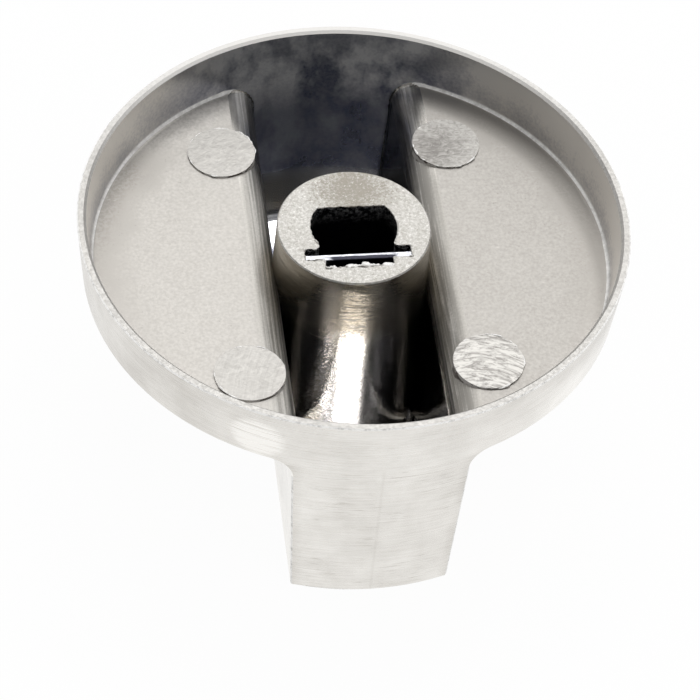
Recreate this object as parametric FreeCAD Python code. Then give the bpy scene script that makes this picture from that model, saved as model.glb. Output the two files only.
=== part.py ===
import FreeCAD, Part
import math
import os
from FreeCAD import Vector

# Oven control knob: a die casting, and the flat spring that grips the stem of the switch.
# Sizes are in millimetres and drafts in degrees.
# The knob stands on the front of its grip with its open back up, and the grip runs along Y.
# The origin is in the middle of the grip's front face, on the axis that the knob turns on.

# Skirt: the shallow round dish that covers the hole in the panel
overall_height = 24.9
rim_diameter = 52.0
rim_thickness = 0.85
rim_outer_bevel = 0.12
rim_inner_bevel = 0.25
skirt_height = 6.5
skirt_draft = 4.5
plate_thickness = 1.05

# Grip: the hollow bar across the front of the skirt
grip_face_width = 14.9
grip_flank_draft = 2.5
grip_end_draft = 0.9
grip_wall = 1.1
grip_front_thickness = 1.2
grip_root_fillet = 1.95
grip_front_round = 0.35
grip_corner_bevel = 0.15
hollow_corner_round = 0.5
hollow_floor_round = 0.9

# Boss: the post in the hollow that takes the stem
boss_diameter = 14.6
boss_draft = 1.7
boss_setback = 1.5
boss_edge_bevel = 0.12

# Stem of the switch, a round bar with one flat, and the socket for it
stem_diameter = 8.0
stem_across_flat = 6.5
stem_clearance = 0.15
socket_depth = 16.0
socket_lip_round = 0.35

# Spring: a flat strip that stands across the socket and bends back into a relief behind it
spring_width = 10.0
spring_thickness = 0.7
spring_height = 12.0
spring_edge_round = 0.08
spring_face_offset = 3.35
spring_front_room = 0.75
spring_end_clearance = 0.05
spring_top_setback = 0.1
relief_width = 6.5
relief_depth = 1.05

# Pads that the ejector pins leave on the floor of the dish
pad_diameter = 6.6
pad_height = 0.2
pad_spacing_across = 22.2
pad_spacing_along = 28.4

# Levels, slopes and radii worked out from the sizes above
rim_radius = rim_diameter / 2
underside_level = overall_height - skirt_height
floor_level = underside_level + plate_thickness
boss_level = overall_height - boss_setback
skirt_slope = math.tan(math.radians(skirt_draft))
skirt_foot_radius = rim_radius - skirt_height * skirt_slope
grip_end_radius = skirt_foot_radius - underside_level * math.tan(math.radians(grip_end_draft))
flank_slope = math.tan(math.radians(grip_flank_draft))
flank_wall = grip_wall / math.cos(math.radians(grip_flank_draft))
lip_round = grip_root_fillet + plate_thickness
spring_back = -(spring_face_offset + spring_thickness)
slot_front = spring_front_room - spring_face_offset
slot_width = spring_width + 2 * spring_end_clearance
slot_depth = spring_height + spring_top_setback
overrun = plate_thickness
tolerance = 1e-4
axis = Vector(0, 0, 1)


def flank(level):
    """Half the grip's outside width at a level."""
    return grip_face_width / 2 + level * flank_slope


def inner_radius(level):
    """Radius of the inside wall of the dish, which runs on down the ends of the hollow."""
    return rim_radius - rim_thickness - (overall_height - level) * skirt_slope


def outline(corners):
    """Closed wire in the XZ plane through corners (x, z, radius), with a tangent arc at each round one."""
    arcs = []
    ends = []
    for index, (x, z, radius) in enumerate(corners):
        corner = Vector(x, 0, z)
        before = corners[index - 1]
        after = corners[(index + 1) % len(corners)]
        back = (Vector(before[0], 0, before[1]) - corner).normalize()
        ahead = (Vector(after[0], 0, after[1]) - corner).normalize()
        half_angle = back.getAngle(ahead) / 2
        reach = radius / math.tan(half_angle)
        ends.append((corner + back * reach, corner + ahead * reach))
        if radius:
            inward = (back + ahead).normalize()
            crown = corner + inward * (radius / math.sin(half_angle) - radius)
            arcs.append(Part.Arc(ends[-1][0], crown, ends[-1][1]).toShape())
    runs = [
        Part.LineSegment(ends[index - 1][1], start).toShape()
        for index, (start, _) in enumerate(ends)
    ]
    return Part.Wire(Part.__sortEdges__(arcs + runs))


def bar(half_section):
    """Bar along Y whose section is the same on both sides of the axis."""
    other_half = [(-x, z, radius) for x, z, radius in reversed(half_section)]
    face = Part.Face(outline(half_section + other_half))
    face.translate(Vector(0, -rim_diameter, 0))
    return face.extrude(Vector(0, 2 * rim_diameter, 0))


def turned(profile):
    """Solid of revolution about the knob's axis."""
    return Part.Face(outline(profile)).revolve(Vector(0, 0, 0), axis, 360)


def block(width, length, height, y, z):
    """Block centred on X, from y towards +Y and from z up."""
    return Part.makeBox(width, length, height, Vector(-width / 2, y, z))


def picked(solid, wanted):
    """The edges of a solid that a test picks."""
    return [edge for edge in solid.Edges if wanted(edge)]


def at_level(edge, level):
    """Whether an edge lies flat at a level."""
    box = edge.BoundBox
    return abs(box.ZMin - level) < tolerance and abs(box.ZMax - level) < tolerance


def at_grip_corner(edge):
    """Whether an edge climbs an end of the grip, below the floor of the dish."""
    box = edge.BoundBox
    climbs = box.ZLength > tolerance and box.ZMax < floor_level + tolerance
    return climbs and min(abs(box.YMin), abs(box.YMax)) > boss_diameter / 2


def at_socket_lip(edge):
    """Whether an edge stands where the hole for the stem opens into the spring's slot."""
    box = edge.BoundBox
    in_front = max(abs(box.YMin - slot_front), abs(box.YMax - slot_front)) < tolerance
    between_ends = max(abs(box.XMin), abs(box.XMax)) < slot_width / 2 - tolerance
    return in_front and between_ends and box.ZLength > tolerance


def make_outside():
    """Outside of the casting: a turned skirt, cut back below its plate to the bar of the grip."""
    section = bar([
        (rim_diameter, overall_height + overrun, 0),
        (rim_diameter, underside_level, 0),
        (flank(underside_level), underside_level, grip_root_fillet),
        (flank(0), 0, 0),
    ])
    envelope = turned([
        (0, 0, 0),
        (grip_end_radius, 0, 0),
        (skirt_foot_radius, underside_level, 0),
        (rim_radius, overall_height - rim_outer_bevel, 0),
        (rim_radius - rim_outer_bevel, overall_height, 0),
        (0, overall_height, 0),
    ])
    blank = section.common(envelope)
    blank = blank.makeChamfer(grip_corner_bevel, picked(blank, at_grip_corner))
    return blank.makeFillet(grip_front_round, picked(blank, lambda edge: at_level(edge, 0)))


def make_core():
    """Space inside the casting: the dish and the hollow of the grip, joined by a lip that rolls over."""
    top = overall_height + overrun
    bevel_foot = overall_height - rim_inner_bevel
    section = bar([
        (rim_diameter, top, 0),
        (rim_diameter, floor_level, 0),
        (flank(floor_level) - flank_wall, floor_level, lip_round),
        (flank(grip_front_thickness) - flank_wall, grip_front_thickness, 0),
    ])
    envelope = turned([
        (0, grip_front_thickness, 0),
        (inner_radius(grip_front_thickness), grip_front_thickness, 0),
        (inner_radius(bevel_foot), bevel_foot, 0),
        (inner_radius(bevel_foot) + rim_inner_bevel + overrun, top, 0),
        (0, top, 0),
    ])
    core = section.common(envelope)
    core = core.makeFillet(hollow_corner_round, picked(core, at_grip_corner))
    hollow_floor = picked(core, lambda edge: at_level(edge, grip_front_thickness))
    return core.makeFillet(hollow_floor_round, hollow_floor)


def make_boss():
    """Drafted post on the axis, from the front of the grip to just below the rim."""
    top_radius = boss_diameter / 2
    return turned([
        (0, 0, 0),
        (top_radius + boss_level * math.tan(math.radians(boss_draft)), 0, 0),
        (top_radius, boss_level - boss_edge_bevel, 0),
        (top_radius - boss_edge_bevel, boss_level, 0),
        (0, boss_level, 0),
    ])


def make_pads():
    """Four round pads on the floor of the dish, whose inner sides stand out over the rolled lip."""
    foot = floor_level - lip_round
    return [
        Part.makeCylinder(
            pad_diameter / 2,
            lip_round + pad_height,
            Vector(side * pad_spacing_across / 2, end * pad_spacing_along / 2, foot),
        )
        for side in (-1, 1)
        for end in (-1, 1)
    ]


def make_socket():
    """Opening in the boss: a hole with one flat for the stem, the spring's slot and the relief behind it."""
    hole_radius = stem_diameter / 2 + stem_clearance
    flat_offset = stem_across_flat - stem_diameter / 2 + stem_clearance
    hole_foot = boss_level - socket_depth
    slot_foot = boss_level - slot_depth
    height = slot_depth + overrun
    hole = Part.makeCylinder(hole_radius, socket_depth + overrun, Vector(0, 0, hole_foot))
    beyond_flat = block(stem_diameter * 2, stem_diameter, socket_depth + overrun, flat_offset, hole_foot)
    slot = block(slot_width, slot_front - spring_back, height, spring_back, slot_foot)
    relief = block(relief_width, relief_depth, height, spring_back - relief_depth, slot_foot)
    opening = hole.cut(beyond_flat).fuse(slot)
    return [opening.makeFillet(socket_lip_round, picked(opening, at_socket_lip)), relief]


def make_knob_body():
    """The casting: its outside less the core, where the boss and pads are left, and less the socket."""
    space = make_core().cut([make_boss()] + make_pads())
    return make_outside().cut([space] + make_socket())


def make_spring_clip():
    """Flat spring, standing on the foot of its slot with its ends against the slot's back."""
    foot = boss_level - slot_depth
    strip = block(spring_width, spring_thickness, spring_height, spring_back, foot)
    long_edges = picked(strip, lambda edge: edge.BoundBox.XLength > spring_thickness)
    return strip.makeFillet(spring_edge_round, long_edges)


pieces = {
    "knob_body": make_knob_body(),
    "spring_clip": make_spring_clip(),
}
os.makedirs("parts", exist_ok=True)
for name, piece in pieces.items():
    piece.exportStep(os.path.join("parts", name + ".step"))
    print(name, "solids", len(piece.Solids), "valid", piece.isValid(), "volume", round(piece.Volume, 2))
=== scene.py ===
# %% [markdown]
# # An oven knob, seen from its open back
#
# The knob is one die casting with a flat spring pushed into it. Its form is already right in the packed
# model, so this lesson is about surfaces. We load the model, build each finish from nodes, share the
# faces of the casting out among the finishes, add the fine flash that a die leaves on edges, and set up a
# white studio with the camera where the photographer stood.

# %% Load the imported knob
import math
from functools import cached_property, reduce

import bpy
from mathutils import Matrix, Vector


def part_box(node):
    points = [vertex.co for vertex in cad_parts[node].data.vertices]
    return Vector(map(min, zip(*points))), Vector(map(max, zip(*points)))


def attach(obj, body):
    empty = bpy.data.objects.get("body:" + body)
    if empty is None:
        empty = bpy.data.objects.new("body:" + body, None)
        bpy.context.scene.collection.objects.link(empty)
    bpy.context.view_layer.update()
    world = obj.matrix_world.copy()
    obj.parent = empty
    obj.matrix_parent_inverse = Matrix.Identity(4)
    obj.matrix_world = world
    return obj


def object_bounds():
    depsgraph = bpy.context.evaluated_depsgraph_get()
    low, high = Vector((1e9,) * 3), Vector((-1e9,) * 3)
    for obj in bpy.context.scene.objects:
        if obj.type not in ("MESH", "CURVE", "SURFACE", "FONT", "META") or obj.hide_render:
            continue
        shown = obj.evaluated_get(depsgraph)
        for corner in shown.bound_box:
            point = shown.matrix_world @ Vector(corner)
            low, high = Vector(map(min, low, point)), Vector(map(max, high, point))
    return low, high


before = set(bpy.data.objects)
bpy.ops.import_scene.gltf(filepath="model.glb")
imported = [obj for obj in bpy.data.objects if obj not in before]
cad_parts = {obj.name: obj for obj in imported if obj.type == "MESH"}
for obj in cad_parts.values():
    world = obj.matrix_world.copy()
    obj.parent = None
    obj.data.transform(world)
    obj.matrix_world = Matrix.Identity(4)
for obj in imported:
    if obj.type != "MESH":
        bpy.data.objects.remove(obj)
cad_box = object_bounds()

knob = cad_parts["knob_body"]
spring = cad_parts["spring_clip"]
print("casting faces:", len(knob.data.polygons), "spring faces:", len(spring.data.polygons))

# %% [markdown]
# ## The knob's landmarks
#
# A finish changes where the form changes: at the rim, the floor of the dish, the lip of the hollow, the
# boss and the socket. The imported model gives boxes, so the other sizes that part those surfaces are
# written here, in millimetres from the same origin. Patterns work in millimetres too, as a finisher would
# describe a grain.

# %% Sizes that part one surface from the next
MM = 0.001
RIM_LEVEL = cad_box[1].z / MM
RIM_RADIUS = cad_box[1].x / MM
FLOOR_LEVEL = 19.45
UNDERSIDE_LEVEL = 18.4
LIP_FOOT = 16.5
SPRING_SETBACK = 0.1
BOSS_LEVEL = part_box("spring_clip")[1].z / MM + SPRING_SETBACK
GRIP_HALF_WIDTH = 7.45
GRIP_DRAFT = 2.5
GRIP_SLOPE = math.tan(math.radians(GRIP_DRAFT))
PAD_RADIUS = 3.3
PAD_LEVEL = 19.65
PAD_ACROSS = 11.1
PAD_ALONG = 14.2
PAD_CENTRES = [(side * PAD_ACROSS, end * PAD_ALONG) for side in (-1, 1) for end in (-1, 1)]
print("rim at", round(RIM_LEVEL, 2), "mm, boss top at", round(BOSS_LEVEL, 2), "mm")

# %% [markdown]
# ## A small vocabulary for nodes
#
# A material is a graph, and writing every link by hand would hide the idea. `put` makes one node, and
# each of its inputs is either a plain value or the socket that feeds it. A socket knows its own graph, so
# the words for sums need only their values. They are the ones a learner would say aloud: add, less,
# times, greater.

# %% Nodes and sums
def feed(node, name, value):
    if isinstance(value, bpy.types.NodeSocket):
        node.id_data.links.new(value, node.inputs[name])
    else:
        node.inputs[name].default_value = value


def put(tree, kind, inputs=None, **settings):
    node = tree.nodes.new(kind)
    for name, value in settings.items():
        setattr(node, name, value)
    for name, value in (inputs or {}).items():
        feed(node, name, value)
    return node


def tree_of(*values):
    return next(value.id_data for value in values if isinstance(value, bpy.types.NodeSocket))


def calc(operation, first, second=0.0):
    inputs = {0: first, 1: second}
    return put(tree_of(first, second), "ShaderNodeMath", inputs, operation=operation).outputs[0]


def add(*terms):
    return reduce(lambda total, term: calc("ADD", total, term), terms)


def less(*terms):
    return reduce(lambda rest, term: calc("SUBTRACT", rest, term), terms)


def times(*factors):
    return reduce(lambda product, factor: calc("MULTIPLY", product, factor), factors)


def greater(first, second):
    return calc("MAXIMUM", first, second)


def either_way(value):
    return calc("ABSOLUTE", value)


# %% [markdown]
# ## Blends, spans and grain
#
# Every finish is a mix of a few patterns. `remap` stretches one span of values over another and holds the
# ends, which also makes it the mask for a place or a direction. `blend` mixes numbers and `tint` mixes
# colours; the Mix node keeps a pair of inputs for each kind, known by number. `grain` is noise with so
# many waves to the millimetre along X, Y and Z: equal ones make a grain, and unequal ones a streak.

# %% Patterns and places
MIX_NUMBERS = (2, 3)
MIX_COLOURS = (6, 7)
COLOUR_RESULT = 2


def remap(value, span, result=(0.0, 1.0)):
    inputs = {"Value": value, "From Min": span[0], "From Max": span[1]}
    inputs.update({"To Min": result[0], "To Max": result[1]})
    return put(tree_of(value), "ShaderNodeMapRange", inputs).outputs["Result"]


def blend(amount, first, second):
    inputs = {0: amount, MIX_NUMBERS[0]: first, MIX_NUMBERS[1]: second}
    return put(tree_of(amount, first, second), "ShaderNodeMix", inputs).outputs[0]


def tint(amount, dark, light):
    ends = [end if isinstance(end, bpy.types.NodeSocket) else (*end, 1.0) for end in (dark, light)]
    inputs = {0: amount, MIX_COLOURS[0]: ends[0], MIX_COLOURS[1]: ends[1]}
    return put(tree_of(amount), "ShaderNodeMix", inputs, data_type="RGBA").outputs[COLOUR_RESULT]


def parts_of(vector):
    return put(tree_of(vector), "ShaderNodeSeparateXYZ", {0: vector}).outputs


def distance(place, point):
    inputs = {0: place, 1: point}
    return put(tree_of(place), "ShaderNodeVectorMath", inputs, operation="DISTANCE").outputs["Value"]


def stretched(place, factors):
    inputs = {0: place, 1: factors}
    return put(tree_of(place), "ShaderNodeVectorMath", inputs, operation="MULTIPLY").outputs[0]


def grain(place, waves, detail=3.0, roughness=0.6, swirl=0.0):
    factors = waves if isinstance(waves, tuple) else (waves, waves, waves)
    inputs = {"Vector": stretched(place, factors), "Scale": 1.0}
    inputs.update({"Detail": detail, "Roughness": roughness, "Distortion": swirl})
    return put(tree_of(place), "ShaderNodeTexNoise", inputs).outputs["Fac"]


# %% [markdown]
# ## Metal in general
#
# On real metal one pattern shows three times: as colour, as gloss and as relief. Separate textures would
# drift apart, so `dress` lets a pattern drive all three. A share below 1 in `Metal` is for rubbed places
# and for places with painted shade or painted highlight, which scatter some light as a paint does and so
# never go
# black. Noise crowds round one half: `NOISE_SPAN` holds nearly all of it, and the narrower spans cut it
# harder.

# %% A metal to be finished
NOISE_SPAN = (0.3, 0.7)
FIRM_SPAN = (0.35, 0.65)
HARD_SPAN = (0.38, 0.62)
FADE_OUT = (1.0, 0.0)
FINISHES = {}


class Metal:
    def __init__(self, name, share=1.0):
        self.material = bpy.data.materials.new(name)
        self.material.use_nodes = True
        self.tree = self.material.node_tree
        self.tree.nodes.clear()
        self.surface = put(self.tree, "ShaderNodeBsdfPrincipled", {"Metallic": share})
        put(self.tree, "ShaderNodeOutputMaterial", {"Surface": self.surface.outputs["BSDF"]})
        here = put(self.tree, "ShaderNodeTexCoord").outputs["Object"]
        self.place = stretched(here, (1 / MM, 1 / MM, 1 / MM))

    @cached_property
    def spot(self):
        return parts_of(self.place)

    @cached_property
    def facing(self):
        return parts_of(put(self.tree, "ShaderNodeNewGeometry").outputs["Normal"])

    def dress(self, tone, dark, light, gloss, relief, depth):
        feed(self.surface, "Base Color", tint(tone, dark, light))
        feed(self.surface, "Roughness", gloss)
        bump = put(self.tree, "ShaderNodeBump", {"Height": relief, "Distance": depth * MM, "Strength": 1.0})
        feed(self.surface, "Normal", bump.outputs["Normal"])
        return self.material


def keep(surface, material):
    FINISHES[surface] = material
    print(material.name, "has", len(material.node_tree.nodes), "nodes, for the", surface)


# %% [markdown]
# ## Lines of the belt
#
# The outside was dressed on a belt while the knob turned, so fine lines run level round it. A picture of
# brushed metal would have to be unwrapped, and would show its repeats. Noise that is squeezed hard along
# Z and hardly at all across it draws such lines on every upright face at once. The faces below need their
# lines along the grip, so X is squeezed there, and the direction of the face chooses between the two.

# %% Belt lines
LYING_FACES = (0.6, 0.8)


def belt_lines(metal, along, across, **noise):
    level_lines = grain(metal.place, (along, along, across), **noise)
    grip_lines = grain(metal.place, (across, along, along), **noise)
    lying = remap(either_way(metal.facing["Z"]), LYING_FACES)
    return blend(lying, level_lines, grip_lines)


# %% [markdown]
# ## Marks on the outside
#
# The die leaves marks of its own. The halves of the die meet in a faint seam down the
# middle of each end of the grip, and the ends get painted shade towards their corners. The skirt gets
# painted light low on the right and painted shade at its sides. Each mark is a mask made of a place, a
# direction or both, which costs less than painting.

# %% Seam of the grip, painted shade on its corners, and painted light and shade on the skirt
SEAM_REACH = (0.06, 0.2)
SEAM_TONE = (0.1, 0.0)
# Painted shade on the ends of the grip, towards their corners.
CORNER_REACH = (0.0, 1.1)
CORNER_SHADE_TONE = (0.22, 0.0)
END_FACES = (0.7, 0.9)
# Painted light low on the right of the skirt, and painted shade on its sides.
SKIRT_LOW = (23.8, 20.0)
SKIRT_LOW_LIGHT = (0.0, 0.5)
SKIRT_RIGHT = (8.0, 18.0)
SKIRT_SIDE_FACES = (0.3, 0.8)
SKIRT_SIDE_SHADE = (0.0, 0.2)


# The real seam of the die, plus painted shade towards the corners of the grip's ends.
def seam_and_corner_shade(metal, below):
    across = either_way(metal.spot["X"])
    half_width = add(times(metal.spot["Z"], GRIP_SLOPE), GRIP_HALF_WIDTH)
    seam = remap(across, SEAM_REACH, SEAM_TONE)
    corner = remap(less(half_width, across), CORNER_REACH, CORNER_SHADE_TONE)
    at_end = remap(either_way(metal.facing["Y"]), END_FACES)
    return times(add(seam, corner), at_end, below)


# Painted light low on the right of the skirt, less painted shade on its sides.
def skirt_light_and_shade(metal, above):
    low = remap(metal.spot["Z"], SKIRT_LOW, SKIRT_LOW_LIGHT)
    on_right = remap(metal.spot["X"], SKIRT_RIGHT)
    side = remap(either_way(metal.facing["X"]), SKIRT_SIDE_FACES, SKIRT_SIDE_SHADE)
    return times(less(times(low, on_right), side), above)


# %% [markdown]
# ## The brushed outside
#
# Now the lines become a finish. A few deeper strokes stay dark, in patches. One spot near the front left
# gets a painted highlight along its lines, and the flanks of the grip get painted light, so they are a
# little paler than its ends. All of it is one sum of tones between a warm grey and near white.

# %% Brushed satin
UNDERSIDE_FADE = 0.3
UNDERSIDE_EDGE = (UNDERSIDE_LEVEL - UNDERSIDE_FADE, UNDERSIDE_LEVEL)
LINE_TONE = (0.2, 0.55)
CLOUD_TONE = (0.0, 0.35)
STROKE_PATCHES = (0.16, 0.16, 0.3)
PATCH_SPAN = (0.42, 0.58)
PATCH_SHARE = (0.1, 1.0)
SKIRT_STROKES = 0.4
DEEP_STROKES = (0.56, 0.68)
STROKE_TONE = (0.0, 0.5)
# Painted highlight on one spot of the skirt, near the front left.
SHEEN_SPOT = (-11.4, -23.1, 21.2)
SHEEN_REACH = (0.8, 2.8)
SHEEN_TONE = (1.6, 0.0)
SHEEN_LINES = (0.35, 0.6)
# Painted light on the flanks of the grip.
FLANK_FACES = (0.4, 0.6)
FLANK_LIGHT = (0.0, 0.4)
SATIN_GLOSS = (0.22, 0.36)
SATIN_DARK = (0.58, 0.555, 0.515)
SATIN_LIGHT = (0.97, 0.95, 0.91)


def brushed_satin():
    metal = Metal("brushed_satin")
    lines = belt_lines(metal, along=0.12, across=7.0, detail=4.0, roughness=0.65)
    strokes = belt_lines(metal, along=0.4, across=6.0)
    cloud = grain(metal.place, waves=0.2)
    below = remap(metal.spot["Z"], UNDERSIDE_EDGE, FADE_OUT)
    patches = remap(grain(metal.place, STROKE_PATCHES, detail=2.0), PATCH_SPAN, PATCH_SHARE)
    scored = times(remap(strokes, DEEP_STROKES, STROKE_TONE), patches, blend(below, SKIRT_STROKES, 1.0))
    # Painted highlight near one spot, along the lines.
    near_spot = remap(distance(metal.place, SHEEN_SPOT), SHEEN_REACH, SHEEN_TONE)
    painted_sheen = times(near_spot, remap(lines, SHEEN_LINES))
    # Painted light on the flanks of the grip.
    flank = times(remap(either_way(metal.facing["X"]), FLANK_FACES, FLANK_LIGHT), below)
    tone = add(remap(lines, NOISE_SPAN, LINE_TONE), remap(cloud, NOISE_SPAN, CLOUD_TONE))
    tone = less(tone, scored, seam_and_corner_shade(metal, below))
    tone = add(tone, skirt_light_and_shade(metal, less(1.0, below)), painted_sheen, flank)
    gloss = remap(lines, NOISE_SPAN, SATIN_GLOSS)
    return metal.dress(tone, SATIN_DARK, SATIN_LIGHT, gloss, relief=lines, depth=0.01)


keep("outside", brushed_satin())

# %% [markdown]
# ## Painted shade on the floor
#
# Nobody polished the inside of the dish. Its floor gets a painted shade towards the far wall, where it
# mirrors that dark wall, with a ragged border. It could be drawn in a texture, but a rule needs no
# unwrapping. The distance from the axis, with soft clouds added to it, gives such a border. On the left the
# painted shade reaches only up to the far pad, beyond it comes a little painted light, and the grain breaks
# up what is left.

# %% Painted shade on the floor, by the far wall
LEVEL_ONLY = (1.0, 1.0, 0.0)
AXIS_FOOT = (0.0, 0.0, 0.0)
# Painted shade on the floor by the far wall; on the far left it turns into painted light.
SHADE_RAGGED = 5.0
SHADE_EDGE = (22.6, 26.2)
SHADE_ALONG = (-14.0, 8.0)
SHADE_LEFT = (-12.0, 0.0)
LEFT_END = (12.5, 16.5)
LEFT_SHARE = (1.2, -0.5)
SHADE_GRAIN = (0.4, 0.6)
SHADE_TONE = (0.2, 0.7)


def floor_shade_by_wall(metal, fine, cloud):
    from_axis = distance(stretched(metal.place, LEVEL_ONLY), AXIS_FOOT)
    ragged = add(from_axis, times(cloud, SHADE_RAGGED))
    # Past the far pad on the left this share turns negative, which gives painted light.
    left_share = remap(metal.spot["Y"], LEFT_END, LEFT_SHARE)
    sides = remap(metal.spot["X"], SHADE_LEFT, (left_share, 1.0))
    where = times(remap(ragged, SHADE_EDGE), remap(metal.spot["Y"], SHADE_ALONG), sides)
    return times(where, remap(fine, SHADE_GRAIN, SHADE_TONE))


# %% [markdown]
# ## The cast floor
#
# The floor carries the skin of the die: a fine grain, soft clouds, a few dark pits and some pale scrapes.
# Its gloss matters most. It is rough enough to blur the softbox behind it and the dim room in front of it
# into one plain warm grey, so the floor needs little colour of its own.

# %% Dish floor
FLOOR_GRAIN_TONE = (0.27, 0.63)
FLOOR_CLOUD_TONE = (0.02, 0.3)
PIT_SPAN = (0.69, 0.76)
PIT_TONE = (0.0, 0.45)
SCRAPE_WAVES = (0.7, 3.5, 1.0)
SCRAPE_SPAN = (0.7, 0.76)
SCRAPE_TONE = (0.0, 0.3)
FLOOR_RIGHT = (0.0, 8.0)
FLOOR_RIGHT_TONE = (0.0, 0.25)
FLOOR_GLOSS = (0.56, 0.6)
FLOOR_DARK = (0.36, 0.342, 0.318)
FLOOR_LIGHT = (0.59, 0.57, 0.539)


def dish_floor():
    metal = Metal("dish_floor")
    fine = grain(metal.place, waves=3.2, roughness=0.7)
    cloud = grain(metal.place, waves=0.3)
    pits = remap(grain(metal.place, waves=3.1, detail=2.0), PIT_SPAN, PIT_TONE)
    scrapes = remap(grain(metal.place, SCRAPE_WAVES, roughness=0.5, swirl=0.6), SCRAPE_SPAN, SCRAPE_TONE)
    tone = add(remap(fine, FIRM_SPAN, FLOOR_GRAIN_TONE), remap(cloud, NOISE_SPAN, FLOOR_CLOUD_TONE))
    on_right = remap(metal.spot["X"], FLOOR_RIGHT, FLOOR_RIGHT_TONE)
    tone = less(add(tone, scrapes), pits, on_right, floor_shade_by_wall(metal, fine, cloud))
    gloss = remap(cloud, NOISE_SPAN, FLOOR_GLOSS)
    return metal.dress(tone, FLOOR_DARK, FLOOR_LIGHT, gloss, relief=fine, depth=0.01)


keep("dish floor", dish_floor())

# %% [markdown]
# ## Clouds on the wall
#
# One cone is the wall of the dish and, further down, the ends of the hollow. Its far end is clouded and
# looks nearly black, because it mirrors the dim front of the room, and its clouds are painted dark too, a
# painted shade; the ends of the hollow below the dish get a painted shade as well. The sides are even, the
# right one paler, and under the rim the wall gets painted light. Two readings of one mottle, blended by
# place, give all that.

# %% Tone of the wall
FAR_CLOUD_SPAN = (0.41, 0.59)
# Painted shade: the far end's clouds are painted nearly black.
FAR_SHADE_TONE = (0.03, 0.8)
SIDE_CLOUD_TONE = (0.52, 0.74)
WALL_RIGHT = (10.0, 18.0)
WALL_RIGHT_TONE = (0.0, 0.16)
WALL_GRAIN_TONE = (-0.06, 0.14)
# Painted shade on the ends of the hollow below the dish, and painted light on the wall under the rim.
BELOW_DISH_SHADE = 0.25
UNDER_RIM = (20.5, 23.5)
UNDER_RIM_LIGHT = (0.0, 0.36)
NEAR_END_TONE = 0.55


def wall_tone(metal, mottle, fine, sideways, in_dish, dull_part):
    far_shade_clouds = remap(mottle, FAR_CLOUD_SPAN, FAR_SHADE_TONE)
    side_clouds = remap(mottle, FIRM_SPAN, SIDE_CLOUD_TONE)
    on_right = remap(metal.spot["X"], WALL_RIGHT, WALL_RIGHT_TONE)
    tone = add(blend(sideways, far_shade_clouds, side_clouds), on_right, remap(fine, FIRM_SPAN, WALL_GRAIN_TONE))
    # Painted shade below the dish, then painted light under the rim.
    tone = times(tone, blend(in_dish, BELOW_DISH_SHADE, 1.0))
    tone = add(tone, remap(metal.spot["Z"], UNDER_RIM, UNDER_RIM_LIGHT))
    return blend(dull_part, NEAR_END_TONE, tone)


# %% [markdown]
# ## The wall of the dish
#
# The wall is smoother than the floor, so it mirrors it. The near end of the hollow is polished, and so is
# the foot of the far end, which throws a white wedge of lamplight to the left of the boss. At the far end
# the light colour leans to blue, a painted reflection, and the dark colour of the wall is a bluish painted
# shade.

# %% Dish wall
IN_DISH = (15.0, 19.0)
FAR_END = (4.0, 14.0)
WALL_SIDES = (9.0, 17.0)
POLISHED_FOOT = (5.5, 7.5)
FOOT_TONE = 0.9
FOOT_GLOSS = 0.05
NEAR_END_GLOSS = 0.04
FAR_END_GLOSS = (0.26, 0.36)
WALL_GLOSS = (0.28, 0.42)
# Bluish painted shade for the wall, and a blue painted reflection at the far end.
WALL_SHADE_BLUE = (0.185, 0.203, 0.295)
WALL_WARM = (0.98, 0.95, 0.905)
WALL_COOL_REFLECTION = (0.96, 0.97, 1.0)


def dish_wall():
    metal = Metal("dish_wall", share=0.9)
    mottle = grain(metal.place, waves=(0.22, 0.22, 0.16), detail=4.0)
    fine = grain(metal.place, waves=3.0)
    in_dish = remap(metal.spot["Z"], IN_DISH)
    far_end = remap(metal.spot["Y"], FAR_END)
    sideways = remap(either_way(metal.spot["X"]), WALL_SIDES)
    foot = remap(metal.spot["Z"], POLISHED_FOOT, FADE_OUT)
    dull_part = greater(far_end, in_dish)
    tone = blend(foot, wall_tone(metal, mottle, fine, sideways, in_dish, dull_part), FOOT_TONE)
    deep_gloss = blend(far_end, NEAR_END_GLOSS, remap(mottle, FIRM_SPAN, FAR_END_GLOSS))
    gloss = blend(in_dish, deep_gloss, remap(mottle, FIRM_SPAN, WALL_GLOSS))
    gloss = blend(foot, gloss, FOOT_GLOSS)
    relief = times(dull_part, fine, less(1.0, foot))
    light = tint(times(far_end, less(1.0, sideways)), WALL_WARM, WALL_COOL_REFLECTION)
    return metal.dress(tone, WALL_SHADE_BLUE, light, gloss, relief, depth=0.008)


keep("dish wall", dish_wall())

# %% [markdown]
# ## The streaked lip
#
# Where the floor rolls over into the grip, the casting dragged along the die as it left, and that drew
# streaks along the lip. Noise with hardly any waves along Y draws them. The right lip is smeared darker,
# a thin plain landing lies where the floor ends, and the lip grows smoother as it goes down.

# %% Streaked lip
STREAK_WAVES = (4.6, 0.07, 4.0)
STREAK_SPAN = (0.36, 0.64)
STREAK_TONE = (-0.2, 0.82)
LIP_GRAIN_TONE = (0.0, 0.3)
SMEAR_WAVES = (1.2, 0.16, 0.8)
SMEAR_SPAN = (0.35, 0.6)
SMEAR_SHARE = (0.1, 1.0)
LIP_RIGHT = (5.0, 8.0)
LIP_RIGHT_TONE = (0.0, 0.6)
LANDING_EDGE = (FLOOR_LEVEL - 0.5, FLOOR_LEVEL - 0.05)
LANDING_TONE = (0.12, 0.3)
LANDING_RIGHT = 0.25
LIP_DROP = (LIP_FOOT, FLOOR_LEVEL - 0.6)
LIP_GLOSS = (0.2, 0.56)
LIP_FAR_END = (9.0, 15.0)
LIP_FAR_GLOSS = 0.24
LIP_DARK = (0.42, 0.402, 0.372)
LIP_LIGHT = (0.93, 0.908, 0.865)


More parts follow.
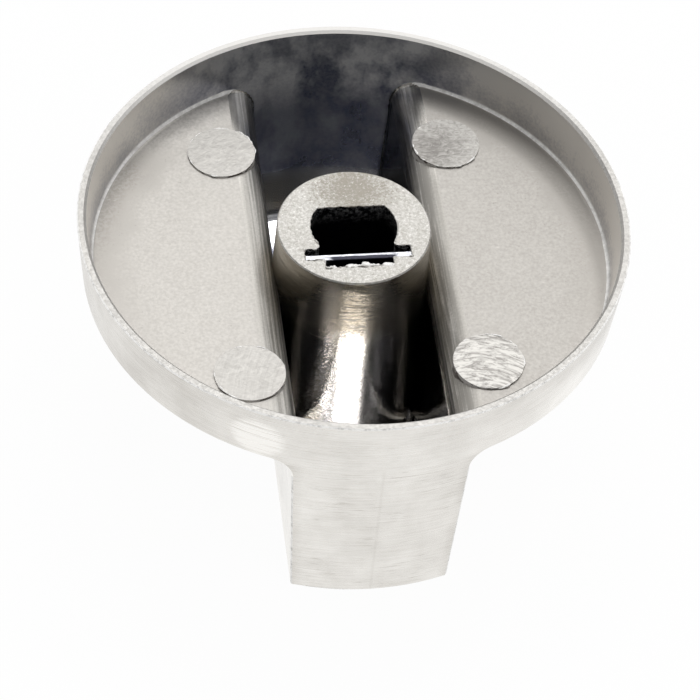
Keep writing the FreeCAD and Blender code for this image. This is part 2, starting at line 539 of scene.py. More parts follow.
def streaked_lip():
    metal = Metal("streaked_lip")
    streaks = grain(metal.place, STREAK_WAVES, detail=2.0)
    fine = grain(metal.place, waves=5.0)
    smear = remap(grain(metal.place, SMEAR_WAVES), SMEAR_SPAN, SMEAR_SHARE)
    right = remap(metal.spot["X"], LIP_RIGHT, LIP_RIGHT_TONE)
    tone = add(remap(streaks, STREAK_SPAN, STREAK_TONE), remap(fine, NOISE_SPAN, LIP_GRAIN_TONE))
    tone = less(tone, times(right, smear))
    landing = less(remap(fine, NOISE_SPAN, LANDING_TONE), times(right, LANDING_RIGHT))
    tone = blend(remap(metal.spot["Z"], LANDING_EDGE), tone, landing)
    gloss = remap(metal.spot["Z"], LIP_DROP, LIP_GLOSS)
    gloss = blend(remap(metal.spot["Y"], LIP_FAR_END), gloss, LIP_FAR_GLOSS)
    return metal.dress(tone, LIP_DARK, LIP_LIGHT, gloss, relief=streaks, depth=0.02)


keep("lip", streaked_lip())

# %% [markdown]
# ## Tone of the hollow
#
# Further down the die was polished, and the hollow works like a hall of mirrors. A ray needs four or five
# bounces to leave it, loses some of its light at each, and mostly leaves towards the dim room, so the
# hollow looks black; its far half also gets a painted shade, a darker tone. Its floor is bright, because it
# is one of the mirrors on the way from the softbox to the white stripe on the boss. Low on the left the
# flank is bright too, and it bends the foot of that stripe.

# %% Tone of the hollow
# Painted shade: the far half of the hollow is painted darker.
FAR_HALF_SHADE = 0.6
MOTTLE_TONE = (0.0, 0.7)
HOLLOW_GRAIN_TONE = (0.0, 0.3)
LOW_FLANK = (4.0, 9.0)
LEFT_FLANK = (-6.0, -4.0)
LEFT_FLANK_TONE = (0.8, 0.0)
FLANK_REST = 0.1
NEAR_WALL_TONE = 0.9
FLOOR_FACES = (0.9, 1.0)
HOLLOW_FLOOR_TONE = (0.0, 0.9)


def hollow_tone(metal, mottle, fine, far_half, flank):
    skin = add(remap(mottle, NOISE_SPAN, MOTTLE_TONE), remap(fine, NOISE_SPAN, HOLLOW_GRAIN_TONE))
    on_left = remap(metal.spot["X"], LEFT_FLANK, LEFT_FLANK_TONE)
    low_left = times(remap(metal.spot["Z"], LOW_FLANK, FADE_OUT), on_left)
    near_tone = blend(flank, NEAR_WALL_TONE, add(low_left, FLANK_REST))
    # Painted shade over the far half.
    tone = blend(far_half, near_tone, times(skin, FAR_HALF_SHADE))
    return greater(tone, remap(metal.facing["Z"], FLOOR_FACES, HOLLOW_FLOOR_TONE))


# %% [markdown]
# ## The polished hollow
#
# The flanks, the floor and the whole near half are close to true mirrors. Only the far half keeps a
# mottled skin, and the round along the foot of its walls is dull, which stops it from drawing a bright
# line.

# %% Polished hollow
FAR_HALF = (4.0, 14.0)
FLANK_WALLS = (0.5, 0.9)
MIRROR_GLOSS = 0.04
FAR_HALF_GLOSS = (0.13, 0.2)
SMOOTH_GLOSS = 0.05
ROUND_STARTS = (0.1, 0.3)
ROUND_ENDS = (0.9, 0.98)
ROUND_GLOSS = 0.4
HOLLOW_DARK = (0.20, 0.207, 0.23)
HOLLOW_LIGHT = (0.68, 0.675, 0.67)


def polished_hollow():
    metal = Metal("polished_hollow")
    mottle = grain(metal.place, waves=1.3, detail=4.0, roughness=0.7)
    fine = grain(metal.place, waves=6.0)
    up = metal.facing["Z"]
    far_half = remap(metal.spot["Y"], FAR_HALF)
    flank = remap(either_way(metal.facing["X"]), FLANK_WALLS)
    gloss = blend(far_half, MIRROR_GLOSS, remap(mottle, NOISE_SPAN, FAR_HALF_GLOSS))
    gloss = blend(greater(flank, remap(up, FLOOR_FACES)), gloss, SMOOTH_GLOSS)
    rounded = times(far_half, remap(up, ROUND_STARTS), remap(up, ROUND_ENDS, FADE_OUT))
    gloss = blend(rounded, gloss, ROUND_GLOSS)
    tone = hollow_tone(metal, mottle, fine, far_half, flank)
    relief = times(far_half, fine)
    return metal.dress(tone, HOLLOW_DARK, HOLLOW_LIGHT, gloss, relief, depth=0.004)


keep("hollow", polished_hollow())

# %% [markdown]
# ## The side of the boss
#
# A tool cut level rings round the upper part of the boss. Each ring is a ramp with a step, a sawtooth,
# and it tilts the mirror up and down, so that part smears the light into a tan glow. Below the rings the
# side is a plain bright mirror, which shows the softbox as a white stripe. Where the side turns to left and
# right it gets a painted shade. The gloss is drawn out round the axis, as turning leaves it.

# %% Side of the boss
TURNED_PART = (14.8, 17.2)
RINGS_PER_MM = 2.6
RING_WAVER = 3.0
SIDE_GRAIN_FACES = (0.12, 0.4)
SIDE_GRAIN_SHARE = (0.35, 1.0)
PLAIN_TONE = (0.55, 1.1)
RING_TONE = (-0.12, 0.12)
RING_SPECKLE_TONE = (-0.15, 0.3)
SPECKLE_SHARE = 0.4
# Painted shade on the parts of the side that face left and right.
ASIDE_FACES = (0.25, 0.5)
ASIDE_SHADE = (0.0, 0.6)
PLAIN_GLOSS = 0.14
TURNED_GLOSS = 0.24
DRAWN_OUT = 0.85
SIDE_DARK = (0.31, 0.278, 0.224)
SIDE_LIGHT = (0.74, 0.715, 0.665)


def boss_side():
    metal = Metal("boss_side")
    level = metal.spot["Z"]
    waver = grain(metal.place, waves=(0.25, 0.25, 0.8), detail=2.0)
    speckle = grain(metal.place, waves=3.4, detail=1.0)
    lines = grain(metal.place, waves=(0.12, 0.12, 4.4), detail=2.0, roughness=0.7)
    turned = remap(level, TURNED_PART)
    rings = calc("FRACT", add(times(level, RINGS_PER_MM), times(waver, RING_WAVER)))
    sideways = either_way(metal.facing["X"])
    relief = add(times(turned, rings), times(speckle, remap(sideways, SIDE_GRAIN_FACES, SIDE_GRAIN_SHARE)))
    plain = remap(speckle, HARD_SPAN, PLAIN_TONE)
    lined = remap(lines, HARD_SPAN, RING_TONE)
    ringed = blend(SPECKLE_SHARE, lined, remap(speckle, HARD_SPAN, RING_SPECKLE_TONE))
    # Painted shade where the side faces left and right.
    tone = less(blend(turned, plain, ringed), remap(sideways, ASIDE_FACES, ASIDE_SHADE))
    gloss = blend(turned, PLAIN_GLOSS, TURNED_GLOSS)
    feed(metal.surface, "Anisotropic", DRAWN_OUT)
    around = put(metal.tree, "ShaderNodeTangent", direction_type="RADIAL", axis="Z")
    feed(metal.surface, "Tangent", around.outputs[0])
    return metal.dress(tone, SIDE_DARK, SIDE_LIGHT, gloss, relief, depth=0.026)


keep("boss side", boss_side())

# %% [markdown]
# ## The top of the boss
#
# The top is a coarse cast face that glitters, with a browner, smoother patch at the back. Strong relief
# from one coarse grain does most of it. A second grain, cut hard, adds the glints.

# %% Top of the boss
GLITTER_SPAN = (0.58, 0.68)
GLITTER_TONE = (0.0, 0.7)
TAN_PATCH = (0.5, 4.9, BOSS_LEVEL)
TAN_REACH = (1.0, 5.0)
TAN_TONE = (0.6, 0.0)
TAN_SMOOTHER = 0.1
COARSE_TONE = (0.1, 0.95)
COARSE_GLOSS = (0.52, 0.62)
TOP_DARK = (0.285, 0.265, 0.23)
TOP_LIGHT = (0.735, 0.725, 0.70)


def boss_top():
    metal = Metal("boss_top")
    coarse = grain(metal.place, waves=4.0, detail=4.0, roughness=0.75)
    glitter = remap(grain(metal.place, waves=4.2, roughness=0.7), GLITTER_SPAN, GLITTER_TONE)
    patch = remap(distance(metal.place, TAN_PATCH), TAN_REACH, TAN_TONE)
    tone = less(add(remap(coarse, NOISE_SPAN, COARSE_TONE), glitter), patch)
    gloss = less(remap(coarse, NOISE_SPAN, COARSE_GLOSS), times(patch, TAN_SMOOTHER))
    return metal.dress(tone, TOP_DARK, TOP_LIGHT, gloss, relief=coarse, depth=0.05)


keep("boss top", boss_top())

# %% [markdown]
# ## The ground rim
#
# The rim was ground flat and still shows its pores. Its far side gets a painted highlight and scatters
# light, so both the tone and the share of bare metal change along Y. One socket can drive a share as well
# as a colour.

# %% Ground rim
PORE_TONE = (0.23, 0.45)
# Painted highlight on the far side of the rim.
FAR_RIM = (8.0, 22.0)
FAR_RIM_HIGHLIGHT = (0.0, 0.7)
BARE_RIM = (4.0, 18.0)
BARE_SHARE = (1.0, 0.15)
RIM_GLOSS = (0.6, 0.5)
RIM_DARK = (0.36, 0.35, 0.332)
RIM_LIGHT = (0.70, 0.685, 0.66)


def ground_rim():
    metal = Metal("ground_rim")
    pores = grain(metal.place, waves=3.4, roughness=0.7)
    feed(metal.surface, "Metallic", remap(metal.spot["Y"], BARE_RIM, BARE_SHARE))
    # Painted highlight towards the far side.
    tone = add(remap(pores, HARD_SPAN, PORE_TONE), remap(metal.spot["Y"], FAR_RIM, FAR_RIM_HIGHLIGHT))
    gloss = remap(pores, NOISE_SPAN, RIM_GLOSS)
    return metal.dress(tone, RIM_DARK, RIM_LIGHT, gloss, relief=pores, depth=0.007)


keep("rim", ground_rim())

# %% [markdown]
# ## The ejector pads
#
# The pins that pushed the casting out left round pads with swirling marks. The near right pad also has
# long curved scratches, and the far right one a stain. A scratch that curves is a straight streak in bent
# coordinates: the distance from a point beside the pad takes the place of X, so that streaks become arcs
# about that point.

# %% Scratched pads
SWIRL_WAVES = (1.0, 1.6, 1.0)
SWIRL_TONE = (0.5, 0.82)
SCRATCH_CENTRE = (9.5, -21.5, PAD_LEVEL)
SCRATCH_WAVES = (2.4, 0.55, 1.0)
SCRATCH_SPAN = (0.4, 0.6)
SCRATCH_TONE = (-0.39, 0.46)
SCRATCHED_PAD = (PAD_ACROSS, -PAD_ALONG, PAD_LEVEL)
SCRATCHED_REACH = (4.0, 6.0)
SCRATCH_SHARE = (1.0, 0.25)
STAIN_SPOT = (9.6, 13.4, PAD_LEVEL)
STAIN_RAGGED = 5.0
STAIN_REACH = (3.0, 7.4)
STAIN_TONE = (0.42, 0.0)
PAD_GLOSS = (0.5, 0.58)
PAD_DARK = (0.15, 0.14, 0.13)
PAD_LIGHT = (0.59, 0.575, 0.546)


def scratched_pad():
    metal = Metal("scratched_pad")
    swirl = grain(metal.place, SWIRL_WAVES, detail=4.0, swirl=2.0)
    bent = {"X": distance(metal.place, SCRATCH_CENTRE), "Y": metal.spot["X"]}
    arcs = put(metal.tree, "ShaderNodeCombineXYZ", bent).outputs[0]
    scratches = grain(arcs, SCRATCH_WAVES, detail=4.0, roughness=0.75, swirl=1.0)
    strength = remap(distance(metal.place, SCRATCHED_PAD), SCRATCHED_REACH, SCRATCH_SHARE)
    marks = times(remap(scratches, SCRATCH_SPAN, SCRATCH_TONE), strength)
    from_stain = add(distance(metal.place, STAIN_SPOT), times(swirl, STAIN_RAGGED))
    stain = remap(from_stain, STAIN_REACH, STAIN_TONE)
    tone = less(add(remap(swirl, NOISE_SPAN, SWIRL_TONE), marks), stain)
    gloss = remap(scratches, NOISE_SPAN, PAD_GLOSS)
    return metal.dress(tone, PAD_DARK, PAD_LIGHT, gloss, relief=swirl, depth=0.02)


keep("pad", scratched_pad())

# %% [markdown]
# ## Edges, steps and corners
#
# Three narrow surfaces are simple. Edges that stand out are nicked, rubbed and given a painted highlight,
# the step round each pad gets a painted shade in patches, and the corner where the wall meets the floor
# gets a painted highlight.
# One grain is enough for each, so one function makes all three, and a table says how they differ.

# %% Rubbed edge with painted highlight, painted shade on the pad step and painted highlight on the foot of the wall
ONE_GRAIN_METALS = {
    # Partly rubbed metal, partly a painted highlight.
    "edge": {
        "name": "rubbed_and_highlit_edge", "share": 0.15, "depth": 0.015,
        "noise": {"waves": 1.6, "detail": 4.0, "roughness": 0.75},
        "span": (0.36, 0.52), "tone": (0.0, 1.0), "gloss": (0.4, 0.55),
        "dark": (0.60, 0.59, 0.57), "light": (0.93, 0.92, 0.90),
    },
    # Painted shade in patches on the step round each pad.
    "pad side": {
        "name": "shaded_pad_step", "share": 0.3, "depth": 0.02,
        "noise": {"waves": (0.5, 0.5, 1.2), "roughness": 0.7},
        "span": (0.46, 0.53), "tone": (0.0, 1.0), "gloss": (0.3, 0.5),
        "dark": (0.08, 0.065, 0.055), "light": (0.56, 0.54, 0.51),
    },
    # Painted highlight along the foot of the wall.
    "wall foot": {
        "name": "highlit_wall_foot", "share": 0.5, "depth": 0.01,
        "noise": {"waves": 1.2, "detail": 4.0, "roughness": 0.7},
        "span": NOISE_SPAN, "tone": (0.2, 1.0), "gloss": (0.32, 0.45),
        "dark": (0.45, 0.44, 0.42), "light": (0.90, 0.89, 0.87),
    },
}


def one_grain_metal(name, share, noise, span, tone, gloss, dark, light, depth):
    metal = Metal(name, share)
    pattern = grain(metal.place, **noise)
    shine = remap(pattern, NOISE_SPAN, gloss)
    return metal.dress(remap(pattern, span, tone), dark, light, shine, relief=pattern, depth=depth)


for surface, recipe in ONE_GRAIN_METALS.items():
    keep(surface, one_grain_metal(**recipe))

# %% [markdown]
# ## The socket
#
# The socket was cast rough. Its lumps glint near the mouth and drown in the dark below. Light hardly gets
# down there anyway, and a tone that fades with depth keeps stray glints out.

# %% Rough socket
MOUTH_DEPTH = (BOSS_LEVEL - 2.4, BOSS_LEVEL)
LUMP_SPAN = (0.46, 0.64)
SOCKET_GLOSS = (0.3, 0.55)
SOCKET_DARK = (0.012, 0.012, 0.015)
SOCKET_LIGHT = (0.85, 0.85, 0.85)


def rough_socket():
    metal = Metal("rough_socket")
    lumps = grain(metal.place, waves=3.2, detail=4.0, roughness=0.7)
    tone = times(remap(metal.spot["Z"], MOUTH_DEPTH), remap(lumps, LUMP_SPAN))
    gloss = remap(lumps, NOISE_SPAN, SOCKET_GLOSS)
    return metal.dress(tone, SOCKET_DARK, SOCKET_LIGHT, gloss, relief=lumps, depth=0.08)


keep("socket", rough_socket())

# %% [markdown]
# ## The spring
#
# The spring was sheared from blue-grey strip. The shear polished one half of its cut edge and tore the
# other half, which stays dark in the middle. A mask along Y parts the halves, and one along X ends the
# dark part.

# %% Sheared spring
ROLLED_WAVES = (0.8, 5.0, 5.0)
ROLLED_TONE = (0.25, 0.65)
GLINT_WAVES = (1.6, 3.0, 3.0)
GLINT_SPAN = (0.5, 0.66)
GLINT_TONE = (0.0, 0.5)
TORN_HALF = (-3.72, -3.6)
TORN_TONE = (1.4, 0.0)
TORN_MIDDLE = 0.4
TORN_ENDS = (2.2, 3.4)
SPRING_GLOSS = (0.24, 0.36)
SPRING_DARK = (0.03, 0.03, 0.04)
SPRING_LIGHT = (0.80, 0.81, 0.86)


def sheared_spring():
    metal = Metal("sheared_spring")
    rolled = grain(metal.place, ROLLED_WAVES, roughness=0.65)
    glints = remap(grain(metal.place, GLINT_WAVES, roughness=0.7), GLINT_SPAN, GLINT_TONE)
    torn = remap(metal.spot["Y"], TORN_HALF, TORN_TONE)
    from_middle = either_way(less(metal.spot["X"], TORN_MIDDLE))
    tone = add(remap(rolled, NOISE_SPAN, ROLLED_TONE), glints)
    tone = less(tone, times(torn, remap(from_middle, TORN_ENDS, FADE_OUT)))
    gloss = remap(rolled, NOISE_SPAN, SPRING_GLOSS)
    return metal.dress(tone, SPRING_DARK, SPRING_LIGHT, gloss, relief=rolled, depth=0.02)


spring.data.materials.clear()
spring.data.materials.append(sheared_spring())
print("the spring wears", spring.data.materials[0].name)

# %% [markdown]
# ## Telling surfaces apart: boss and outside
#
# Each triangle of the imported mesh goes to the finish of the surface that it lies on. Its middle and its
# direction say which one that is. Selecting faces by hand would be lost at the next pack, and a rule is
# not. The direction is a unit vector, so 0.9 and more means squarely that way.

# %% Surfaces of the boss and of the outside
SQUARELY = 0.9
BOSS_EDGE = 0.13
BOSS_SKIN = 0.1
CORNER_ACROSS = (0.5, 0.97)
CORNER_ALONG = 0.22
ROOT_REACH = 2.0


def boss_surface(middle, outward, radius, boss_here):
    if middle.z > BOSS_LEVEL - BOSS_EDGE:
        return "boss top"
    if outward > SQUARELY and radius > boss_here - BOSS_SKIN:
        return "boss side"
    return "socket"


def outside_surface(middle, normal):
    grip_corner = CORNER_ACROSS[0] < abs(normal.x) < CORNER_ACROSS[1] and abs(normal.y) > CORNER_ALONG
    if middle.z < UNDERSIDE_LEVEL - ROOT_REACH and grip_corner:
        return "edge"
    return "outside"


# %% [markdown]
# ## Telling surfaces apart: the inside
#
# Inside, the order of the questions does the work. Pads come first, because they stand on everything
# else. Then the rounded foot of the wall, the wall, the floor and the lip are told apart, and what is
# left is the hollow.

# %% Surfaces of the inside
SLACK = 0.02
STEP_SLACK = 0.05
UPRIGHT = 0.1
FOOT_INWARD = (0.35, SQUARELY)
FOOT_UPWARD = (0.35, 0.95)
FOOT_BAND = 2.5
WALL_BAND = 4.5
LIP_INNER = 6.5
LIP_UPWARD = 0.06


def pad_surface(middle, normal):
    for x, y in PAD_CENTRES:
        from_pad = math.hypot(middle.x - x, middle.y - y)
        if from_pad < PAD_RADIUS and middle.z > PAD_LEVEL - SLACK:
            return "pad"
        if abs(from_pad - PAD_RADIUS) < STEP_SLACK and abs(normal.z) < UPRIGHT:
            return "pad side"
    return None


def wall_surface(middle, normal, inward, radius):
    sloping = FOOT_INWARD[0] < inward < FOOT_INWARD[1] and FOOT_UPWARD[0] < normal.z < FOOT_UPWARD[1]
    if sloping and middle.z > FLOOR_LEVEL and radius > RIM_RADIUS - FOOT_BAND:
        return "wall foot"
    if inward > SQUARELY and radius > RIM_RADIUS - WALL_BAND:
        return "dish wall"
    return None


def floor_surface(middle, normal):
    if middle.z > FLOOR_LEVEL - SLACK:
        return "dish floor"
    if middle.z > LIP_FOOT and abs(middle.x) > LIP_INNER and normal.z > LIP_UPWARD:
        return "lip"
    return "hollow"


# %% [markdown]
# ## Sharing out the faces
#
# One function asks the questions in turn: rim, boss, outside and then inside. Only the material number of
# a face changes, never the mesh, so the model stays as it was packed.

# %% Give every face of the casting its finish
RIM_WIDTH = 1.2
RIM_DEPTH = 0.3
RIM_FLAT = 0.97
BOSS_RADIUS = 7.3
BOSS_DRAFT = 1.7
BOSS_SLOPE = math.tan(math.radians(BOSS_DRAFT))
BOSS_SLACK = 0.05
HOLLOW_FLOOR = 1.2
AXIS_GUARD = 1.0
GRIP_SKIN = 0.3
FRONT_ROUND = 0.5
OUTWARD_END = 0.5


def surface_of(middle, normal):
    radius = math.hypot(middle.x, middle.y)
    outward = (middle.x * normal.x + middle.y * normal.y) / max(radius, AXIS_GUARD)
    boss_here = BOSS_RADIUS + BOSS_SLOPE * (BOSS_LEVEL - middle.z)
    grip_here = GRIP_HALF_WIDTH + GRIP_SLOPE * middle.z
    at_skin = radius > RIM_RADIUS - RIM_WIDTH
    if middle.z > RIM_LEVEL - RIM_DEPTH and at_skin:
        return "rim" if normal.z > RIM_FLAT or outward < 0 else "edge"
    if radius < boss_here + BOSS_SLACK and middle.z > HOLLOW_FLOOR + BOSS_SLACK:
        return boss_surface(middle, outward, radius, boss_here)
    on_flank = abs(middle.x) > grip_here - GRIP_SKIN and normal.x * middle.x > 0
    below = middle.z < FRONT_ROUND or normal.z < -SQUARELY
    at_end = outward > OUTWARD_END and at_skin
    if below or at_end or (on_flank and middle.z < UNDERSIDE_LEVEL + SLACK):
        return outside_surface(middle, normal)
    on_wall = wall_surface(middle, normal, -outward, radius)
    return pad_surface(middle, normal) or on_wall or floor_surface(middle, normal)


def share_out(node):
    order = list(FINISHES)
    counts = dict.fromkeys(order, 0)
    node.data.materials.clear()
    for finish in FINISHES.values():
        node.data.materials.append(finish)
    for face in node.data.polygons:
        surface = surface_of(face.center / MM, face.normal)
        face.material_index = order.index(surface)
        counts[surface] += 1
    return counts


print("faces by finish:", share_out(knob))

# %% [markdown]
# ## Flash left by the die
#
# Metal creeps into every joint of a die. A thin ragged bead stays round each ejector pin, round the mouth
# of the socket and, much heavier, along the near edge of the spring's relief, where the core tore it. All
# three are one idea: a bead that follows a path, wanders off it a little, swells and dies away. It could
# be modelled by hand each time, but a Geometry Nodes tree does it for any path.

# %% A node tree that lays a ragged bead along a path
BEAD_SETTINGS = ("Step", "Bead", "Wander", "Lumps", "Bare", "Seed")
BEAD_DETAIL = 3.0
BEAD_SIDES = 7
NOISE_MIDDLE = (0.5, 0.5, 0.5)
SWELL_SPAN = 0.16
SWELL = (0.05, 1.0)


def bead_tree():
    tree = bpy.data.node_groups.new("ragged_bead", "GeometryNodeTree")
    tree.interface.new_socket("Path", in_out="INPUT", socket_type="NodeSocketGeometry")
    for name in BEAD_SETTINGS:
        tree.interface.new_socket(name, in_out="INPUT", socket_type="NodeSocketFloat")
    tree.interface.new_socket("Finish", in_out="INPUT", socket_type="NodeSocketMaterial")
    tree.interface.new_socket("Bead", in_out="OUTPUT", socket_type="NodeSocketGeometry")
    given = put(tree, "NodeGroupInput").outputs
    line = put(tree, "GeometryNodeMeshToCurve", {"Mesh": given["Path"]}).outputs["Curve"]
    fine = put(tree, "GeometryNodeResampleCurve", {"Curve": line, "Length": given["Step"]}, mode="LENGTH")
    here = put(tree, "GeometryNodeInputPosition").outputs[0]
    noise = {"Vector": here, "W": given["Seed"], "Scale": given["Lumps"], "Detail": BEAD_DETAIL}
    lumps = put(tree, "ShaderNodeTexNoise", noise, noise_dimensions="4D").outputs
    from_middle = {0: lumps["Color"], 1: NOISE_MIDDLE}
    astray = put(tree, "ShaderNodeVectorMath", from_middle, operation="SUBTRACT").outputs[0]
    wander = {0: astray, "Scale": given["Wander"]}
    offset = put(tree, "ShaderNodeVectorMath", wander, operation="SCALE").outputs[0]
    moved = put(tree, "GeometryNodeSetPosition", {"Geometry": fine.outputs[0], "Offset": offset})
    swell = remap(lumps["Fac"], (given["Bare"], add(given["Bare"], SWELL_SPAN)), SWELL)
    circle = {"Resolution": BEAD_SIDES, "Radius": given["Bead"]}
    section = put(tree, "GeometryNodeCurvePrimitiveCircle", circle).outputs[0]
    sweep = {"Curve": moved.outputs[0], "Profile Curve": section, "Scale": swell, "Fill Caps": True}
    solid = put(tree, "GeometryNodeCurveToMesh", sweep)
    real = put(tree, "GeometryNodeRealizeInstances", {"Geometry": solid.outputs[0]})
    finish = {"Geometry": real.outputs[0], "Material": given["Finish"]}
    dressed = put(tree, "GeometryNodeSetMaterial", finish)
    put(tree, "NodeGroupOutput", {0: dressed.outputs[0]})
    return tree


RAGGED_BEAD = bead_tree()
print("ragged_bead has", len(RAGGED_BEAD.nodes), "nodes")

# %% [markdown]
# ## From a path to a plain mesh
#
# A path is a handful of points and edges. The tree turns it into a bead, and the result is copied into a
# plain mesh, so that the piece no longer depends on the tree and can be exported. The sizes are given in
# millimetres by name.

# %% Lay a bead on a path
def bead(step, radius, wander, lumps, bare, seed, finish):
    sizes = {"Step": step * MM, "Bead": radius * MM, "Wander": wander * MM, "Lumps": lumps / MM}
    return {**sizes, "Bare": bare, "Seed": seed, "Finish": FINISHES[finish]}


def chain(start, count, closed):
    edges = [(start + step, start + step + 1) for step in range(count - 1)]
    return edges + [(start + count - 1, start)] if closed else edges


def lay_bead(name, points, edges, settings):
    mesh = bpy.data.meshes.new(name)
    mesh.from_pydata([Vector(point) * MM for point in points], edges, [])
    piece = bpy.data.objects.new(name, mesh)
    bpy.context.scene.collection.objects.link(piece)
    modifier = piece.modifiers.new("bead", "NODES")
    modifier.node_group = RAGGED_BEAD
    inputs = [item for item in RAGGED_BEAD.interface.items_tree if item.in_out == "INPUT"]
    sockets = {item.name: item.identifier for item in inputs}
    for socket, value in settings.items():
        modifier[sockets[socket]] = value
    bpy.context.view_layer.update()
    ready = piece.evaluated_get(bpy.context.evaluated_depsgraph_get())
    solid = bpy.data.meshes.new_from_object(ready)
    piece.modifiers.clear()
    piece.data = solid
    solid.shade_smooth()
    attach(piece, "root")
    print(name, len(solid.polygons), "faces")


# %% [markdown]
# ## Flash round the pads
#
# Each ejector pin leaves a thin broken ring round its pad. Four closed chains of points in one mesh make
# one piece, and a high share of bare path breaks the rings.

# %% Pad flash
RING_STEPS = 72
SUNK = 0.03


def ring(centre, radius, level, count):
    points = []
    for step in range(count):
        turn = 2 * math.pi * step / count
        points.append((centre[0] + radius * math.cos(turn), centre[1] + radius * math.sin(turn), level))
    return points


pad_points = []
pad_edges = []
for centre in PAD_CENTRES:
    pad_edges += chain(len(pad_points), RING_STEPS, True)
    pad_points += ring(centre, PAD_RADIUS, PAD_LEVEL - SUNK, RING_STEPS)
pad_bead = bead(step=0.1, radius=0.12, wander=0.3, lumps=0.9, bare=0.52, seed=3.0, finish="edge")
lay_bead("pad_flash", pad_points, pad_edges, pad_bead)

# %% [markdown]
# ## Flash round the mouth of the socket
#
# The mouth is a hole with one flat that opens into the spring's slot and the relief behind it. It is the
# same on both sides, so the right half is drawn and then mirrored. Here the bead is finer and wears the
# finish of the boss's top.

# %% Mouth flash
HOLE_RADIUS = 4.15
FLAT_OFFSET = 2.65
ARC_STEPS = 12
SLOT_FRONT = -2.6
SLOT_BACK = -4.05
SLOT_HALF = 5.05
RELIEF_HALF = 3.25
RELIEF_BACK = -5.1
ROUNDED_LIP = [(3.66, -2.39), (3.98, SLOT_FRONT)]
SLOT_CORNERS = [(SLOT_HALF, SLOT_FRONT), (SLOT_HALF, SLOT_BACK)]
RELIEF_CORNERS = [(RELIEF_HALF, SLOT_BACK), (RELIEF_HALF, RELIEF_BACK)]


def socket_mouth():
    flat_turn = math.asin(FLAT_OFFSET / HOLE_RADIUS)
    lip_turn = -math.acos(ROUNDED_LIP[0][0] / HOLE_RADIUS)
    turns = [flat_turn + (lip_turn - flat_turn) * step / ARC_STEPS for step in range(ARC_STEPS + 1)]
    arc = [(HOLE_RADIUS * math.cos(turn), HOLE_RADIUS * math.sin(turn)) for turn in turns]
    right = arc + ROUNDED_LIP + SLOT_CORNERS + RELIEF_CORNERS
    left = [(-x, y) for x, y in reversed(right)]
    return [(x, y, BOSS_LEVEL - SUNK) for x, y in right + left]


mouth = socket_mouth()
mouth_bead = bead(step=0.1, radius=0.11, wander=0.4, lumps=2.2, bare=0.42, seed=7.0, finish="boss top")
lay_bead("mouth_flash", mouth, chain(0, len(mouth), True), mouth_bead)

# %% [markdown]
# ## The torn edge of the relief
#
# Along the near edge of the relief the core tore the metal, and a heavy burr leans into the opening. The
# same tree lays it on an open path that bulges in the middle, with a thicker bead and little bare path.

# %% Relief burr
BURR_DEPTH = 0.25
LEFT_TEAR = [(-3.2, -5.05), (-2.2, -4.95), (-1.4, -5.1), (-0.4, -4.85)]
RIGHT_TEAR = [(0.5, -4.7), (1.3, -4.75), (2.1, -4.95), (3.2, -5.05)]

torn = [(x, y, BOSS_LEVEL - BURR_DEPTH) for x, y in LEFT_TEAR + RIGHT_TEAR]
burr_bead = bead(step=0.08, radius=0.36, wander=0.4, lumps=1.1, bare=0.32, seed=4.0, finish="edge")
lay_bead("relief_burr", torn, chain(0, len(torn), False), burr_bead)

# %% [markdown]
# ## A white floor
#
# The knob stands on white paper, in front of a white backdrop. A lit white surface would be grey in the
# picture, so to the camera and to reflections the floor glows instead. The small matt share that is left
# still takes a soft shadow.

# %% Floor
WHITE = (1.0, 1.0, 1.0, 1.0)
PAPER = (0.8, 0.8, 0.8, 1.0)
WHITE_SHARE = 0.96
FLOOR_REACH = 1.5


def white_to_viewers(tree):
    path = put(tree, "ShaderNodeLightPath").outputs
    return greater(greater(path["Is Camera Ray"], path["Is Glossy Ray"]), path["Is Transmission Ray"])


def white_paper():
    material = bpy.data.materials.new("white_floor")
    material.use_nodes = True
    tree = material.node_tree
    tree.nodes.clear()
    matt = put(tree, "ShaderNodeBsdfDiffuse", {"Color": PAPER}).outputs[0]
    glow = put(tree, "ShaderNodeEmission", {"Color": WHITE, "Strength": 1.0}).outputs[0]
    share = times(white_to_viewers(tree), WHITE_SHARE)
    both = put(tree, "ShaderNodeMixShader", {0: share, 1: matt, 2: glow}).outputs[0]
    put(tree, "ShaderNodeOutputMaterial", {"Surface": both})
    return material


corners = [(x * FLOOR_REACH, y * FLOOR_REACH, 0.0) for x, y in ((-1, -1), (1, -1), (1, 1), (-1, 1))]
sheet = bpy.data.meshes.new("floor")
sheet.from_pydata(corners, [], [(0, 1, 2, 3)])
sheet.materials.append(white_paper())
floor = bpy.data.objects.new("floor", sheet)
bpy.context.scene.collection.objects.link(floor)
print("floor reaches", FLOOR_REACH, "m")

# %% [markdown]
# ## The room
#
# Polished metal has no look of its own: it shows the room. This one is bright behind the knob and dim in
# front of it, where the photographer stood, and dark cloths hang high on the left and right. The cloths
# make the dark sides of the boss. The camera sees plain white, reflections see the room, and matt
# surfaces get an even fill.

# %% Room with dark cloths
BACKWARD = (0.1, 0.99, 0.0)
BACK_SPAN = (-0.6, 0.45)
FRONT_LEVEL = 0.2
BACK_LEVEL = 1.06
CLOTH_ASIDE = (0.3, 0.45)
CLOTH_HIGH = (0.52, 0.64)
CLOTH_LEVEL = 0.08
FILL_LEVEL = 0.8


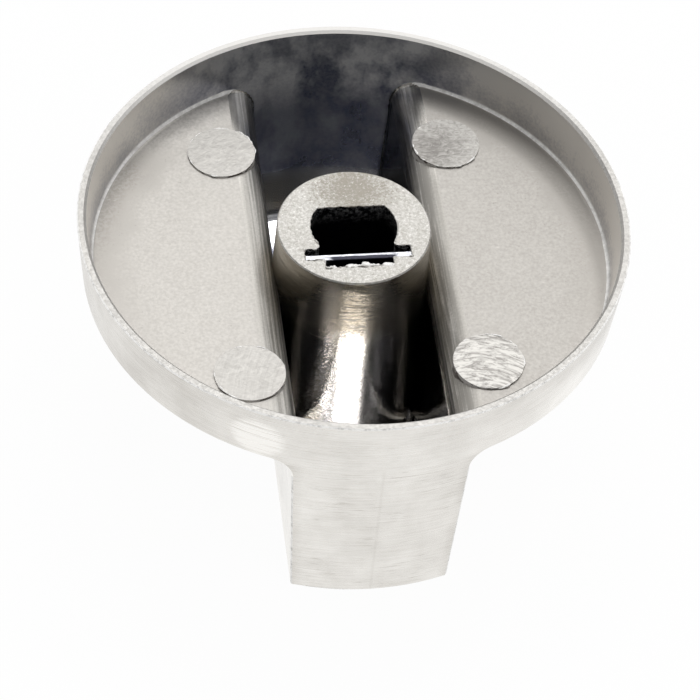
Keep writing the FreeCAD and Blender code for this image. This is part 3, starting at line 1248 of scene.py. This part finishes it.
def make_room():
    world = bpy.data.worlds.new("studio")
    world.use_nodes = True
    tree = world.node_tree
    tree.nodes.clear()
    toward = put(tree, "ShaderNodeTexCoord").outputs["Generated"]
    behind = put(tree, "ShaderNodeVectorMath", {0: toward, 1: BACKWARD}, operation="DOT_PRODUCT")
    mirrored = remap(behind.outputs["Value"], BACK_SPAN, (FRONT_LEVEL, BACK_LEVEL))
    sight = parts_of(toward)
    cloth = times(remap(either_way(sight["X"]), CLOTH_ASIDE), remap(sight["Z"], CLOTH_HIGH))
    mirrored = times(mirrored, blend(cloth, 1.0, CLOTH_LEVEL))
    path = put(tree, "ShaderNodeLightPath").outputs
    level = blend(path["Is Glossy Ray"], FILL_LEVEL, mirrored)
    level = blend(path["Is Camera Ray"], level, 1.0)
    glow = put(tree, "ShaderNodeBackground", {"Color": WHITE, "Strength": level})
    put(tree, "ShaderNodeOutputWorld", {"Surface": glow.outputs[0]})
    return world


bpy.context.scene.world = make_room()
print("room from", FRONT_LEVEL, "in front to", BACK_LEVEL, "behind")

# %% [markdown]
# ## Three softboxes
#
# A softbox is seen in the metal, so its shape and place count more than its power. The one at the back
# lights the floor of the dish and is the white stripe on the boss, seen by way of the hollow. The small
# bright one at the right bends the foot of that stripe to the left. The one in front, on the right, makes
# the white wedge beside the boss. An area lamp spreads its power over its size, so the power is worked
# out from how bright its face should look.

# %% Softboxes
LAMP_HEIGHT = 0.6
POWER_PER_RADIANCE = 4
SOFTBOXES = {
    "back_softbox": {"across": (-0.12, 0.14), "along": (0.24, 0.45), "radiance": 5.6},
    "right_softbox": {"across": (0.20, 0.31), "along": (0.262, 0.33), "radiance": 24.0},
    "front_softbox": {"across": (0.16, 0.30), "along": (-0.42, -0.29), "radiance": 6.0},
}


def hang_softbox(name, across, along, radiance):
    data = bpy.data.lights.new(name, "AREA")
    data.shape = "RECTANGLE"
    data.size = across[1] - across[0]
    data.size_y = along[1] - along[0]
    data.energy = POWER_PER_RADIANCE * radiance * data.size * data.size_y
    lamp = bpy.data.objects.new(name, data)
    lamp.location = (sum(across) / 2, sum(along) / 2, LAMP_HEIGHT)
    bpy.context.scene.collection.objects.link(lamp)
    print(name, round(data.energy, 2), "W")


for name, plan in SOFTBOXES.items():
    hang_softbox(name, **plan)

# %% [markdown]
# ## The camera
#
# The photograph was matched with a pinhole camera, from the ellipses of the rim and the boss. It stands
# close in front, to the left and well above, looks down steeply and leans over by a few degrees. Turning,
# tilting and leaning are three plain rotations, which is easier to follow than one matrix of numbers.

# %% Stand where the photographer stood
PICTURE_PIXELS = 700
FOCAL_PIXELS = 3000
SENSOR_WIDTH = 36.0
NEAREST = 0.01
CAMERA_PLACE = Vector((-36.806, -191.173, 228.297)) * MM
TURNED = math.radians(-11.122)
DROP = math.radians(48.816)
LEAN = math.radians(5.619)

lens = bpy.data.cameras.new("photographer")
lens.sensor_width = SENSOR_WIDTH
lens.lens = SENSOR_WIDTH * FOCAL_PIXELS / PICTURE_PIXELS
lens.clip_start = NEAREST
camera = bpy.data.objects.new("photographer", lens)
turn = Matrix.Rotation(TURNED, 4, "Z")
tilt = Matrix.Rotation(math.pi / 2 - DROP, 4, "X")
lean = Matrix.Rotation(LEAN, 4, "Z")
camera.matrix_world = Matrix.Translation(CAMERA_PLACE) @ turn @ tilt @ lean
bpy.context.scene.collection.objects.link(camera)
bpy.context.scene.camera = camera
bpy.context.scene.view_settings.view_transform = "Standard"
print("lens", round(lens.lens, 1), "mm")
